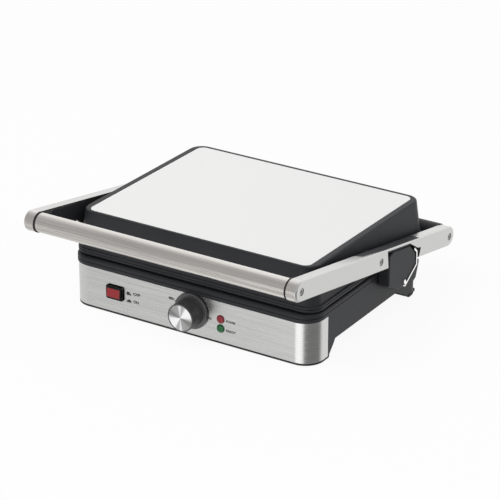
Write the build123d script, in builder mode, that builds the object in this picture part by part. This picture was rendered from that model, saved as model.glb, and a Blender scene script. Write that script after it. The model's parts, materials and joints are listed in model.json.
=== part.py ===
from build123d import *
import os
from math import atan2, cos, degrees, hypot, radians, sin

# Contact grill: two hot plates, one in a base and one in a floating lid that hangs in two side arms.
# Frame: X to the right, Y to the back, Z up. The origin is on the table under the middle of the whole grill.
# Lengths are in millimetres. Depths are first given from the face of the front panel, then moved by front_y.
os.makedirs("parts", exist_ok=True)

# Base
base_width = 330.0
base_depth = 250.0
base_corner_r = 24.0
housing_wall = 2.6
skirt_z = 1.2
tuck_z = 19.0
skirt_depth = 36.0
tuck_run = 15.0
rear_leg_depth = 58.0
rear_leg_run = 26.0
rear_leg_width = 46.0
rim_top = 64.0
rim_height = 10.0
rim_stand_out = 0.8
rim_round = 2.4
groove_depth = 0.7
groove_height = 0.9
switch_from_left = 63.2
knob_from_middle = 4.9
lamp_from_middle = 43.4

# Front panel, a bent steel sheet round the front of the base
panel_sheet = 0.8
panel_bottom = 3.6
panel_top = 53.4
panel_reach = 33.5

# Hot plates
plate_margin_x = 15.0
plate_margin_y = 12.0
plate_thick = 5.0
plate_corner_r = 14.0
rib_height = 3.2
rib_width = 5.0
rib_pitch = 12.0
rib_border = 14.0
plate_ledge = 5.0
plate_gap = 0.4
plate_fit = 0.5
plate_shift = 1.0

# Lid
lid_gap = 1.2
lid_lip_height = 7.3
lid_lip_round = 2.4
lid_top_front = 118.0
lid_top_rear = 113.8
lid_bottom_front = 3.0
lid_overhang = 14.0
lid_top_inset = 8.0
lid_rear_lean = 4.0
lid_corner_r = 20.0
lid_wall = 3.0
wall_base_inset = 2.0
inset_margin = 16.0
inset_front = 15.0
inset_overhang = 4.5
inset_corner_r = 9.0
inset_thick = 1.2
inset_gap = 0.4

# Arms, handle and hinge
arm_gap = 3.5
arm_thick = 13.5
arm_height = 24.0
arm_edge_r = 2.4
liner_thick = 3.0
liner_margin = 30.0
liner_rim = 2.5
handle_reach = 53.2
handle_z = 122.6
tube_r = 11.5
tube_wall = 1.2
cap_r = 12.2
ring_thick = 2.2
ring_r = 12.4
tie_rod_r = 3.0
hinge_behind = 36.5
hinge_z = 58.9
shaft_r = 5.0
barrel_r = 13.0
running_gap = 0.06
pivot_before_middle = 3.2
pivot_z = 89.6
pivot_pin_r = 4.0
pivot_boss_r = 9.0
arm_fit = 0.4

# The part cut from under the right arm, along the arm from the hinge
cut_near = 73.0
cut_far = 151.0
cut_flange = 2.0
notch_far = 208.0
notch_wall = 1.9
liner_bridge = 5.0

# Small hardware
screw_r = 3.6
screw_sink = 2.5
foot_r = 8.0
foot_pad = 26.0
element_r = 3.3
heater_gap = 0.1
heater_margin_x = 42.0
heater_margin_y = 34.0
heater_mouth = 34.0
heater_step = 50.0
heater_bend_r = 14.0
sheet = 1.0
cover_gap = 0.4

# Places worked out from the sizes above
half_base = base_width / 2
arm_inner_x = half_base + arm_gap
arm_outer_x = arm_inner_x + arm_thick
hinge_back = base_depth + hinge_behind
pivot_back = base_depth / 2 - pivot_before_middle
arm_run = hinge_back + handle_reach
arm_drop = handle_z - hinge_z
arm_length = hypot(arm_run, arm_drop)
arm_angle = atan2(arm_drop, arm_run)
whole_front = handle_reach + ring_r
whole_rear = hinge_back + arm_height / 2
front_y = (whole_front - whole_rear) / 2
rear_y = front_y + base_depth
hinge_y = front_y + hinge_back
pivot_y = front_y + pivot_back
handle_y = front_y - handle_reach
base_mid_y = front_y + base_depth / 2
housing_half = half_base - panel_sheet
housing_mid_y = front_y + panel_sheet + (base_depth - panel_sheet) / 2
housing_depth = base_depth - panel_sheet
housing_corner = base_corner_r - panel_sheet
inner_width = 2 * (housing_half - housing_wall)
inner_depth = housing_depth - 2 * housing_wall
inner_corner_r = housing_corner - housing_wall
wall_in_y = front_y + panel_sheet + housing_wall
plate_width = base_width - 2 * plate_margin_x
plate_depth = base_depth - 2 * plate_margin_y
plate_mid_y = base_mid_y + plate_shift
plate_seat = rim_top - plate_thick + 0.2
lower_rib_top = plate_seat + plate_thick + rib_height
lid_bottom = rim_top + lid_gap
upper_rib_bottom = lower_rib_top + plate_gap
upper_plate_back = upper_rib_bottom + rib_height + plate_thick
deck_under = plate_seat - 3.0
rim_bottom = rim_top - rim_height
bracket_top = rim_bottom - 1.5

# Controls
knob_x = knob_from_middle
knob_z = 33.5
knob_r = 17.3
knob_length = 24.0
knob_gap = 1.2
knob_flange_r = 22.0
knob_flange = 3.0
knob_cap_r = 15.7
knob_cap_thick = 0.8
spindle_r = 3.0
spindle_in = 14.0
switch_x = switch_from_left - half_base
switch_z = 28.9
switch_width = 23.6
switch_height = 17.2
switch_stand_out = 2.4
switch_body_wall = 1.2
switch_deep = 22.0
rocker_width = 18.6
rocker_height = 12.2
rocker_gap = 0.3
rocker_tilt = 7.0
rocker_axis = 1.0
lamp_x = lamp_from_middle
lamp_z = 32.0
lamp_pitch = 11.6
lamp_r = 4.8
lamp_stand_out = 2.4
lamp_spots = [(lamp_x, lamp_z), (lamp_x, lamp_z - lamp_pitch)]


def arm_point(along, up):
    """A point of the arm's side view: along runs from the hinge to the handle, up is square to it."""
    return (
        hinge_y - along * cos(arm_angle) + up * sin(arm_angle),
        hinge_z + along * sin(arm_angle) + up * cos(arm_angle),
    )


def save(part, label):
    part.label = label
    export_step(part, f"parts/{label}.step")


# The openings for the switch, the spindle and the lamps, through the panel and the wall behind it
with BuildPart() as control_openings:
    with BuildSketch(Plane.XZ.offset(-(wall_in_y + 1))):
        with Locations((switch_x, switch_z)):
            Rectangle(switch_width - 2 * switch_body_wall + 0.6, switch_height - 2 * switch_body_wall + 0.6)
        with Locations((knob_x, knob_z)):
            Circle(spindle_r + 2)
        with Locations(*lamp_spots):
            Circle(lamp_r - 0.8)
    extrude(amount=housing_wall + 4)

# Base housing: a moulded tub, open below, with a rim that the lower plate drops into
with BuildPart() as base_housing:
    with BuildSketch(Plane.XY.offset(rim_bottom)):
        with Locations((0, base_mid_y - rim_stand_out / 2)):
            RectangleRounded(base_width + 2 * rim_stand_out, base_depth + rim_stand_out, base_corner_r)
    extrude(amount=rim_height)
    fillet(base_housing.faces().sort_by(Axis.Z)[-1].outer_wire().edges(), rim_round)
    # A fine groove runs round the rim
    with BuildSketch(Plane.XY.offset(rim_bottom + rim_height * 0.42)):
        with Locations((0, base_mid_y)):
            Rectangle(base_width + 20, base_depth + 20)
        with Locations((0, base_mid_y)):
            RectangleRounded(
                base_width + 2 * (rim_stand_out - groove_depth), base_depth, base_corner_r, mode=Mode.SUBTRACT
            )
    extrude(amount=groove_height, mode=Mode.SUBTRACT)
    with BuildSketch(Plane.XY.offset(skirt_z)):
        with Locations((0, housing_mid_y)):
            RectangleRounded(2 * housing_half, housing_depth, housing_corner)
    extrude(amount=rim_bottom - skirt_z)
    # The skirt stands out under the steel panel, flush with its face
    with BuildSketch(Plane.XY.offset(skirt_z)):
        with Locations((0, base_mid_y)):
            RectangleRounded(base_width, base_depth, base_corner_r)
    extrude(amount=panel_bottom - skirt_z - 0.1)
    with BuildSketch(Plane.XY):
        with Locations((0, housing_mid_y)):
            RectangleRounded(inner_width, inner_depth, inner_corner_r)
    extrude(amount=deck_under, mode=Mode.SUBTRACT)
    with BuildSketch(Plane.XY.offset(plate_seat)):
        with Locations((0, plate_mid_y)):
            RectangleRounded(plate_width + 2 * plate_fit, plate_depth + 2 * plate_fit, plate_corner_r + plate_fit)
    extrude(amount=plate_thick + rib_height, mode=Mode.SUBTRACT)
    with BuildSketch(Plane.XY.offset(deck_under - 1)):
        with Locations((0, plate_mid_y)):
            RectangleRounded(
                plate_width - 2 * plate_ledge, plate_depth - 2 * plate_ledge, plate_corner_r - plate_ledge
            )
    extrude(amount=plate_thick + rib_height, mode=Mode.SUBTRACT)
    # The sides are tucked up between the front skirt and the two rear legs
    tuck_front = front_y + skirt_depth
    leg_y = rear_y - rear_leg_depth
    with BuildSketch(Plane.YZ):
        with BuildLine():
            Polyline(
                (tuck_front - 2, -1),
                (tuck_front, skirt_z + 1),
                (tuck_front + tuck_run * 0.75, tuck_z - 5),
                (tuck_front + tuck_run, tuck_z),
                (leg_y, tuck_z),
                (leg_y + rear_leg_run, skirt_z + 3.5),
                (leg_y + rear_leg_run + 5, -1),
                close=True,
            )
        make_face()
    extrude(amount=base_width, both=True, mode=Mode.SUBTRACT)
    with BuildSketch(Plane.XY.offset(-1)):
        with Locations((0, rear_y)):
            Rectangle(inner_width - 2 * rear_leg_width, 4 * housing_wall)
    extrude(amount=tuck_z + 1, mode=Mode.SUBTRACT)
    # The back leans in towards the feet
    with BuildSketch(Plane.YZ):
        with BuildLine():
            Polyline((rear_y - 8, -1), (rear_y + 2, -1), (rear_y + 2, 32), (rear_y, 30), close=True)
        make_face()
    extrude(amount=base_width, both=True, mode=Mode.SUBTRACT)
    add(control_openings.part, mode=Mode.SUBTRACT)
    # Posts that carry the bottom cover, and pads for the feet
    post_r = 4.5
    post_x = inner_width / 2 - post_r - 0.2
    post_ys = (front_y + base_depth * 0.264, front_y + base_depth * 0.6)
    post_foot = tuck_z + 2 + sheet
    with BuildSketch(Plane.XY.offset(post_foot)):
        with Locations(*[(side * post_x, y) for side in (-1, 1) for y in post_ys]):
            Circle(post_r)
    extrude(amount=deck_under - post_foot)
    rear_foot_x = half_base - 16
    front_foot_x = half_base - 22
    foot_in = 18.0
    feet_at = [(side * rear_foot_x, rear_y - foot_in) for side in (-1, 1)]
    feet_at += [(side * front_foot_x, front_y + foot_in) for side in (-1, 1)]
    with BuildSketch(Plane.XY.offset(skirt_z)):
        with Locations(*feet_at):
            RectangleRounded(foot_pad, foot_pad - 4, 3)
    extrude(amount=2.4)
save(base_housing.part, "base_housing")

# Front panel: one bent sheet that wraps both front corners, pierced for the controls
with BuildPart() as front_panel:
    with BuildSketch(Plane.XY.offset(panel_bottom)):
        with Locations((0, base_mid_y)):
            RectangleRounded(base_width, base_depth, base_corner_r)
        with Locations((0, housing_mid_y)):
            RectangleRounded(2 * housing_half, housing_depth, housing_corner, mode=Mode.SUBTRACT)
        with Locations((0, front_y + panel_reach + base_depth / 2)):
            Rectangle(base_width + 10, base_depth, mode=Mode.SUBTRACT)
    extrude(amount=panel_top - panel_bottom)
    add(control_openings.part, mode=Mode.SUBTRACT)
save(front_panel.part, "front_panel")

# Bottom cover: a folded sheet inside the tub, low under the controls and tucked up behind them
with BuildPart() as bottom_cover:
    cover_low = skirt_z + 4
    cover_high = tuck_z + 2
    slope_y = tuck_front - 4
    with BuildSketch(Plane.YZ):
        with BuildLine():
            Polyline(
                (front_y, cover_low),
                (slope_y, cover_low),
                (slope_y + tuck_run, cover_high),
                (rear_y, cover_high),
                (rear_y, cover_high + sheet),
                (slope_y + tuck_run - sheet, cover_high + sheet),
                (slope_y - sheet, cover_low + sheet),
                (front_y, cover_low + sheet),
                close=True,
            )
        make_face()
    extrude(amount=half_base, both=True)
    with BuildSketch(Plane.XY):
        with Locations((0, housing_mid_y)):
            RectangleRounded(inner_width - 2 * cover_gap, inner_depth - 2 * cover_gap, inner_corner_r - cover_gap)
    extrude(amount=rim_top, mode=Mode.INTERSECT)
save(bottom_cover.part, "bottom_cover")

with BuildPart() as cover_screws:
    cover_screw_high = 1.6
    with BuildSketch(Plane.XY.offset(cover_high - cover_screw_high)):
        with Locations(*[(side * post_x, y) for side in (-1, 1) for y in post_ys]):
            Circle(screw_r)
    extrude(amount=cover_screw_high)
save(cover_screws.part, "cover_screws")

# Feet: four rubber pads
with BuildPart() as feet:
    with BuildSketch(Plane.XY):
        with Locations(*feet_at):
            Circle(foot_r)
    extrude(amount=skirt_z)
save(feet.part, "rubber_feet")


def ribbed_plate(back, face, name):
    """A cast plate whose flat back is at height back and whose ribs end at height face."""
    up = 1 if face > back else -1
    rib_base = back + up * plate_thick
    rib_run = plate_depth - 2 * rib_border
    half_count = int((plate_width / 2 - rib_border) / rib_pitch)
    rib_spots = [(step * rib_pitch, plate_mid_y) for step in range(-half_count, half_count + 1)]
    with BuildPart() as plate:
        with BuildSketch(Plane.XY.offset(min(back, rib_base))):
            with Locations((0, plate_mid_y)):
                RectangleRounded(plate_width, plate_depth, plate_corner_r)
        extrude(amount=plate_thick)
        with BuildSketch(Plane.XY.offset(min(rib_base, face))):
            with Locations((0, plate_mid_y)):
                RectangleRounded(plate_width, plate_depth, plate_corner_r)
                RectangleRounded(
                    plate_width - rib_border, plate_depth - rib_border, plate_corner_r - 4, mode=Mode.SUBTRACT
                )
            with Locations(*rib_spots):
                SlotOverall(rib_run, rib_width, rotation=90)
        extrude(amount=rib_height)
    save(plate.part, name)


ribbed_plate(plate_seat, lower_rib_top, "lower_plate")
ribbed_plate(upper_plate_back, upper_rib_bottom, "upper_plate")


def heating_element(level, name):
    """A tubular heater bent twice, with both ends brought out at the back."""
    reach_x = plate_width / 2 - heater_margin_x
    near = plate_mid_y - plate_depth / 2 + heater_margin_y
    far = plate_mid_y + plate_depth / 2 - heater_margin_y
    with BuildPart() as element:
        with BuildLine() as path:
            FilletPolyline(
                (-heater_mouth, far, level),
                (-heater_mouth, near + heater_step, level),
                (-reach_x, near + heater_step, level),
                (-reach_x, near, level),
                (reach_x, near, level),
                (reach_x, near + heater_step, level),
                (heater_mouth, near + heater_step, level),
                (heater_mouth, far, level),
                radius=heater_bend_r,
            )
        with BuildSketch(Plane(origin=path.line @ 0, z_dir=path.line % 0)):
            Circle(element_r)
        sweep()
    save(element.part, name)


def reflector(low, high, rim, name):
    """A folded tray behind a heater, with an outward flange that seats at height rim."""
    tray_width = plate_width - 2 * plate_ledge - 6
    tray_depth = plate_depth - 2 * plate_ledge - 6
    flange = 14.0
    with BuildPart() as tray:
        with BuildSketch(Plane.XY.offset(low)):
            with Locations((0, plate_mid_y)):
                RectangleRounded(tray_width, tray_depth, 8)
        extrude(amount=high - low)
        with BuildSketch(Plane.XY.offset(low + sheet if rim == high else low)):
            with Locations((0, plate_mid_y)):
                RectangleRounded(tray_width - 2 * sheet, tray_depth - 2 * sheet, 7)
        extrude(amount=high - low - sheet, mode=Mode.SUBTRACT)
        with BuildSketch(Plane.XY.offset(high - sheet if rim == high else low)):
            with Locations((0, plate_mid_y)):
                RectangleRounded(tray_width + flange, tray_depth + flange, flange)
                RectangleRounded(tray_width - 2 * sheet, tray_depth - 2 * sheet, 7, mode=Mode.SUBTRACT)
        extrude(amount=sheet)
    save(tray.part, name)


tray_space = 5.0
lower_heater_z = plate_seat - element_r - heater_gap
heating_element(lower_heater_z, "lower_heating_element")
reflector(lower_heater_z - element_r - tray_space, deck_under, deck_under, "lower_reflector")

# Lid frame: a moulded shell with leaning walls, a stepped lower lip and a sunk field for the top plate
lid_bottom_rear = base_depth + lid_overhang
lid_mid_y = front_y + (lid_bottom_front + lid_bottom_rear) / 2
lid_depth = lid_bottom_rear - lid_bottom_front
lip_top = lid_bottom + lid_lip_height
inset_width = base_width - 2 * inset_margin
inset_rear = base_depth + inset_overhang
inset_depth = inset_rear - inset_front
top_slope = atan2(lid_top_front - lid_top_rear, inset_depth)
top_depth = lid_depth - lid_top_inset - lid_rear_lean
top_mid_y = lid_mid_y + (lid_top_inset - lid_rear_lean) / 2
roof = Plane(
    origin=(0, front_y + inset_front, lid_top_front),
    x_dir=(1, 0, 0),
    z_dir=(0, sin(top_slope), cos(top_slope)),
)
seat_deck = upper_plate_back
deck_thick = 3.0
cavity_width = base_width - 2 * lid_top_inset - 2 * lid_wall
cavity_depth = top_depth - 2 * lid_wall
with BuildPart() as lid_cavity:
    with BuildSketch(Plane.XY.offset(seat_deck + deck_thick)):
        with Locations((0, top_mid_y)):
            RectangleRounded(cavity_width, cavity_depth, lid_corner_r - 6)
    extrude(amount=lid_top_front - seat_deck)
    split(bisect_by=roof.offset(-inset_thick - lid_wall), keep=Keep.BOTTOM)
with BuildPart() as lid_frame:
    with BuildSketch(Plane.XY.offset(lid_bottom)):
        with Locations((0, lid_mid_y)):
            RectangleRounded(base_width, lid_depth, lid_corner_r)
    extrude(amount=lid_lip_height)
    fillet(lid_frame.faces().sort_by(Axis.Z)[0].edges(), lid_lip_round)
    fillet(lid_frame.faces().sort_by(Axis.Z)[-1].edges(), 1.2)
    with BuildSketch(Plane.XY.offset(lip_top)):
        with Locations((0, lid_mid_y)):
            RectangleRounded(base_width - 2 * wall_base_inset, lid_depth - 2 * wall_base_inset, lid_corner_r - 1)
    with BuildSketch(Plane.XY.offset(lid_top_front + 1)):
        with Locations((0, top_mid_y)):
            RectangleRounded(base_width - 2 * lid_top_inset, top_depth, lid_corner_r - 4)
    loft()
    split(bisect_by=roof, keep=Keep.BOTTOM)
    fillet(lid_frame.faces().sort_by(Axis.Z)[-1].outer_wire().edges(), 2.0)
    # A fine groove runs round the lip
    with BuildSketch(Plane.XY.offset(lid_bottom + lid_lip_height * 0.55)):
        with Locations((0, lid_mid_y)):
            Rectangle(base_width + 20, lid_depth + 20)
            RectangleRounded(
                base_width - 2 * groove_depth, lid_depth - 2 * groove_depth, lid_corner_r, mode=Mode.SUBTRACT
            )
    extrude(amount=groove_height, mode=Mode.SUBTRACT)
    # Sunk field for the inset top plate
    with BuildSketch(roof.offset(-inset_thick)):
        with Locations((0, inset_depth / 2)):
            RectangleRounded(inset_width + 2 * inset_gap, inset_depth + 2 * inset_gap, inset_corner_r + inset_gap)
    extrude(amount=inset_thick + 2, mode=Mode.SUBTRACT)
    # Cavity of the lid, and the recess that holds the upper plate
    add(lid_cavity.part, mode=Mode.SUBTRACT)
    with BuildSketch(Plane.XY.offset(lid_bottom - 1)):
        with Locations((0, plate_mid_y)):
            RectangleRounded(plate_width + 2 * plate_fit, plate_depth + 2 * plate_fit, plate_corner_r + plate_fit)
    extrude(amount=seat_deck - lid_bottom + 1, mode=Mode.SUBTRACT)
    with BuildSketch(Plane.XY.offset(seat_deck - 1)):
        with Locations((0, plate_mid_y)):
            RectangleRounded(
                plate_width - 2 * plate_ledge, plate_depth - 2 * plate_ledge, plate_corner_r - plate_ledge
            )
    extrude(amount=deck_thick + 2, mode=Mode.SUBTRACT)
    # Pivot bosses on both side walls, bored for the pins
    boss_inner = half_base - lid_top_inset - 10
    boss_outer = arm_inner_x - arm_fit
    for side in (-1, 1):
        start = boss_inner if side > 0 else -boss_outer
        with BuildSketch(Plane.YZ.offset(start)):
            with Locations((pivot_y, pivot_z)):
                Circle(pivot_boss_r)
        extrude(amount=boss_outer - boss_inner)
    with BuildSketch(Plane.YZ.offset(-base_width)):
        with Locations((pivot_y, pivot_z)):
            Circle(pivot_pin_r + running_gap)
    extrude(amount=2 * base_width, mode=Mode.SUBTRACT)
save(lid_frame.part, "lid_frame")

with BuildPart() as lid_panel:
    with BuildSketch(roof.offset(-inset_thick)):
        with Locations((0, inset_depth / 2)):
            RectangleRounded(inset_width, inset_depth, inset_corner_r)
    extrude(amount=inset_thick)
    fillet(lid_panel.faces().sort_by(Axis.Z)[-1].edges(), 0.4)
save(lid_panel.part, "lid_panel")

# Upper heater, and an upturned tray whose flange lies on the deck round the upper plate
upper_heater_z = upper_plate_back + element_r + heater_gap
heating_element(upper_heater_z, "upper_heating_element")
upper_tray_low = seat_deck + deck_thick
reflector(upper_tray_low, upper_heater_z + element_r + tray_space, upper_tray_low, "upper_reflector")

# Screws that hold the plates through their trays
tray_screw_in = 4.5
tray_screw_high = 2.0
tray_screw_spots = [
    (sx * (plate_width / 2 - tray_screw_in), plate_mid_y + sy * plate_depth * 0.27)
    for sx in (-1, 1)
    for sy in (-1, 1)
]
for name, level in (
    ("lower_tray_screws", deck_under - sheet - tray_screw_high),
    ("upper_tray_screws", upper_tray_low + sheet),
):
    with BuildPart() as tray_screws:
        with BuildSketch(Plane.XY.offset(level)):
            with Locations(*tray_screw_spots):
                Circle(screw_r - 0.6)
        extrude(amount=tray_screw_high)
    save(tray_screws.part, name)

# Hinge: a barrel across the back, held to the base by two webs, with the shaft turning inside it
barrel_half = arm_inner_x - arm_fit
web_x = half_base * 0.68
web_width = 40.0
web_foot = 30.0
with BuildPart() as hinge_barrel:
    with BuildSketch(Plane.YZ.offset(-barrel_half)):
        with Locations((hinge_y, hinge_z)):
            Circle(barrel_r)
    extrude(amount=2 * barrel_half)
    for side in (-1, 1):
        with BuildSketch(Plane.YZ.offset(side * web_x - web_width / 2)):
            with BuildLine():
                Polyline(
                    (rear_y, web_foot),
                    (rear_y, rim_bottom - 1),
                    (hinge_y, hinge_z - 1),
                    (hinge_y, hinge_z - barrel_r + 0.5),
                    (rear_y + barrel_r, web_foot + 1),
                    close=True,
                )
            make_face()
        extrude(amount=web_width)
    with BuildSketch(Plane.YZ.offset(-barrel_half - 1)):
        with Locations((hinge_y, hinge_z)):
            Circle(shaft_r + running_gap)
    extrude(amount=2 * barrel_half + 2, mode=Mode.SUBTRACT)
save(hinge_barrel.part, "hinge_barrel")

shaft_half = arm_outer_x - screw_sink
with BuildPart() as hinge_shaft:
    with BuildSketch(Plane.YZ.offset(-shaft_half)):
        with Locations((hinge_y, hinge_z)):
            Circle(shaft_r)
    extrude(amount=2 * shaft_half)
save(hinge_shaft.part, "hinge_shaft")

# The space cut from under the right arm: its metal keeps a thin flange and a gusset behind
arm_top = arm_height / 2
flange_under = arm_top - cut_flange
with BuildPart() as metal_cut:
    with BuildSketch(Plane.YZ.offset(arm_inner_x - 1)):
        with BuildLine():
            Polyline(
                arm_point(cut_near + 4, -arm_height),
                arm_point(cut_near - 1, 0.4),
                arm_point(cut_near + 7, 1.2),
                arm_point(cut_near + 15, 4.6),
                arm_point(cut_near + 28, flange_under),
                arm_point(cut_far + 3.8, flange_under),
                arm_point(cut_far - 6.6, -arm_height),
                close=True,
            )
        make_face()
    extrude(amount=arm_thick + 2)

# The space under the right liner, which bridges the cut with a deeper strip
with BuildPart() as liner_cut:
    with BuildSketch(Plane.YZ.offset(arm_inner_x - 1)):
        with BuildLine():
            Polyline(
                arm_point(cut_near + 4, -arm_height),
                arm_point(cut_near - 1, 0.4),
                arm_point(cut_near + 7, 1.2),
                arm_point(cut_near + 15, 4.6),
                arm_point(cut_near + 24, arm_top - liner_bridge),
                arm_point(cut_far + 3.4, arm_top - liner_bridge),
                arm_point(cut_far - 6.6, -arm_height),
                close=True,
            )
        make_face()
    extrude(amount=arm_thick + 2)

# The notch in the inner side of the right arm that the liner fills up to the top
notch_plane = Plane(
    origin=(arm_inner_x, hinge_y, hinge_z),
    x_dir=(1, 0, 0),
    z_dir=(0, sin(arm_angle), cos(arm_angle)),
)
with BuildPart() as liner_notch:
    with BuildSketch(notch_plane.offset(-arm_height)):
        with BuildLine():
            Polyline(
                (-1, -cut_near - 2.5),
                (arm_thick - notch_wall, -cut_near - 2.5),
                (arm_thick - notch_wall, -cut_near - 85),
                (arm_thick - 3.3, -cut_near - 103),
                (arm_thick - 5.7, -notch_far + 3),
                (-1, -notch_far - 2),
                close=True,
            )
        make_face()
    extrude(amount=2 * arm_height)


def liner_shape(start, thick):
    """The outline of a liner: a strip inside the arm and a flap that hangs below it by the lid's side."""
    with BuildPart() as strip:
        with BuildSketch(Plane.YZ.offset(start)):
            with Locations(arm_point(arm_length / 2, 0)):
                SlotCenterToCenter(
                    arm_length - 2 * liner_margin, arm_height - 2 * liner_rim, rotation=-degrees(arm_angle)
                )
            with BuildLine():
                Polyline(
                    arm_point(notch_far - 20, 0),
                    arm_point(notch_far - 20, -arm_top - 2),
                    arm_point(notch_far - 15, -arm_top - 6),
                    arm_point(notch_far + 50, -arm_top - 6),
                    arm_point(notch_far + 60, -arm_top + 1),
                    arm_point(notch_far + 60, 0),
                    close=True,
                )
            make_face()
        extrude(amount=thick)
    return strip.part


def side_arm(side, name):
    """A cast aluminium arm with round ends; the right one is cut away below a thin flange."""
    inner = arm_inner_x if side > 0 else -arm_outer_x
    liner_start = arm_inner_x if side > 0 else -(arm_inner_x + liner_thick)
    pocket = liner_shape(liner_start, liner_thick)
    with BuildPart() as arm:
        with BuildSketch(Plane.YZ.offset(inner)):
            with Locations(arm_point(arm_length / 2, 0)):
                SlotCenterToCenter(arm_length, arm_height, rotation=-degrees(arm_angle))
            with Locations((handle_y, handle_z)):
                Circle(cap_r)
        extrude(amount=arm_thick)
        outer_face = arm.faces().filter_by(Plane.YZ).sort_by(Axis.X)[-1 if side > 0 else 0]
        fillet(outer_face.edges(), arm_edge_r)
        if side > 0:
            add(metal_cut.part, mode=Mode.SUBTRACT)
            add(liner_notch.part, mode=Mode.SUBTRACT)
        add(pocket, mode=Mode.SUBTRACT)
        # Sunk seats for the screw heads, and the three bores
        screw_face = arm_outer_x - screw_sink if side > 0 else -arm_outer_x
        bores = (
            ((handle_y, handle_z), tie_rod_r),
            ((pivot_y, pivot_z), pivot_pin_r),
            ((hinge_y, hinge_z), shaft_r),
        )
        for spot, radius in bores:
            with BuildSketch(Plane.YZ.offset(screw_face)):
                with Locations(spot):
                    Circle(screw_r + 0.9)
            extrude(amount=screw_sink, mode=Mode.SUBTRACT)
            with BuildSketch(Plane.YZ.offset(inner - 1)):
                with Locations(spot):
                    Circle(radius)
            extrude(amount=arm_thick + 2, mode=Mode.SUBTRACT)
    save(arm.part, name)


# The body that fills the notch of the right arm, with the arm's own outline
with BuildPart() as notch_filler:
    with BuildSketch(Plane.YZ.offset(arm_inner_x)):
        with Locations(arm_point(arm_length / 2, 0)):
            SlotCenterToCenter(arm_length, arm_height, rotation=-degrees(arm_angle))
    extrude(amount=arm_thick)
    add(liner_notch.part, mode=Mode.INTERSECT)


def arm_liner(side, name):
    """A moulded strip on the inner face of an arm; the right one also fills the notch in the metal."""
    start = arm_inner_x if side > 0 else -(arm_inner_x + liner_thick)
    strip = liner_shape(start, liner_thick)
    with BuildPart() as liner:
        add(strip)
        if side > 0:
            add(notch_filler.part)
            add(liner_cut.part, mode=Mode.SUBTRACT)
            with BuildSketch(Plane.YZ.offset(arm_outer_x - screw_sink)):
                with Locations((pivot_y, pivot_z)):
                    Circle(screw_r + 0.9)
            extrude(amount=screw_sink, mode=Mode.SUBTRACT)
        with BuildSketch(Plane.YZ.offset(start - 1 if side > 0 else start - arm_thick)):
            with Locations((pivot_y, pivot_z)):
                Circle(pivot_pin_r)
        extrude(amount=2 * arm_thick, mode=Mode.SUBTRACT)
    save(liner.part, name)


side_arm(1, "arm_right")
side_arm(-1, "arm_left")
arm_liner(1, "arm_liner_right")
arm_liner(-1, "arm_liner_left")

# Pivot pins: fixed in the arms, turning in the lid's bosses
with BuildPart() as pivot_pins:
    pin_start = boss_inner - 3
    for start in (pin_start, -shaft_half):
        with BuildSketch(Plane.YZ.offset(start)):
            with Locations((pivot_y, pivot_z)):
                Circle(pivot_pin_r)
        extrude(amount=shaft_half - pin_start)
save(pivot_pins.part, "pivot_pins")

# Screw heads sunk in the outer faces of the arms
head_high = 1.9
cross_deep = 0.8
for name, spot in (
    ("handle_screws", (handle_y, handle_z)),
    ("pivot_screws", (pivot_y, pivot_z)),
    ("hinge_screws", (hinge_y, hinge_z)),
):
    with BuildPart() as heads:
        for start in (shaft_half, -shaft_half - head_high):
            with BuildSketch(Plane.YZ.offset(start)):
                with Locations(spot):
                    Circle(screw_r + 0.5)
            extrude(amount=head_high)
            with BuildSketch(Plane.YZ.offset(start + head_high - cross_deep if start > 0 else start)):
                with Locations(spot):
                    Rectangle(5.4, 0.9)
                    Rectangle(0.9, 5.4)
            extrude(amount=cross_deep, mode=Mode.SUBTRACT)
    save(heads.part, name)

# Handle: a steel tube between two rings, drawn together by a tie rod
tube_half = arm_inner_x - ring_thick
spigot_long = 6.0
with BuildPart() as handle_tube:
    with BuildSketch(Plane.YZ.offset(-tube_half)):
        with Locations((handle_y, handle_z)):
            Circle(tube_r)
            Circle(tube_r - tube_wall, mode=Mode.SUBTRACT)
    extrude(amount=2 * tube_half)
save(handle_tube.part, "handle_tube")
for side, name in ((1, "handle_ring_right"), (-1, "handle_ring_left")):
    start = tube_half if side > 0 else -arm_inner_x
    spigot = start - spigot_long if side > 0 else start + ring_thick
    with BuildPart() as ring:
        with BuildSketch(Plane.YZ.offset(start)):
            with Locations((handle_y, handle_z)):
                Circle(ring_r)
                Circle(tie_rod_r, mode=Mode.SUBTRACT)
        extrude(amount=ring_thick)
        with BuildSketch(Plane.YZ.offset(spigot)):
            with Locations((handle_y, handle_z)):
                Circle(tube_r - tube_wall)
                Circle(tie_rod_r, mode=Mode.SUBTRACT)
        extrude(amount=spigot_long)
    save(ring.part, name)
with BuildPart() as tie_rod:
    with BuildSketch(Plane.YZ.offset(-shaft_half)):
        with Locations((handle_y, handle_z)):
            Circle(tie_rod_r)
    extrude(amount=2 * shaft_half)
save(tie_rod.part, "handle_tie_rod")

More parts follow.
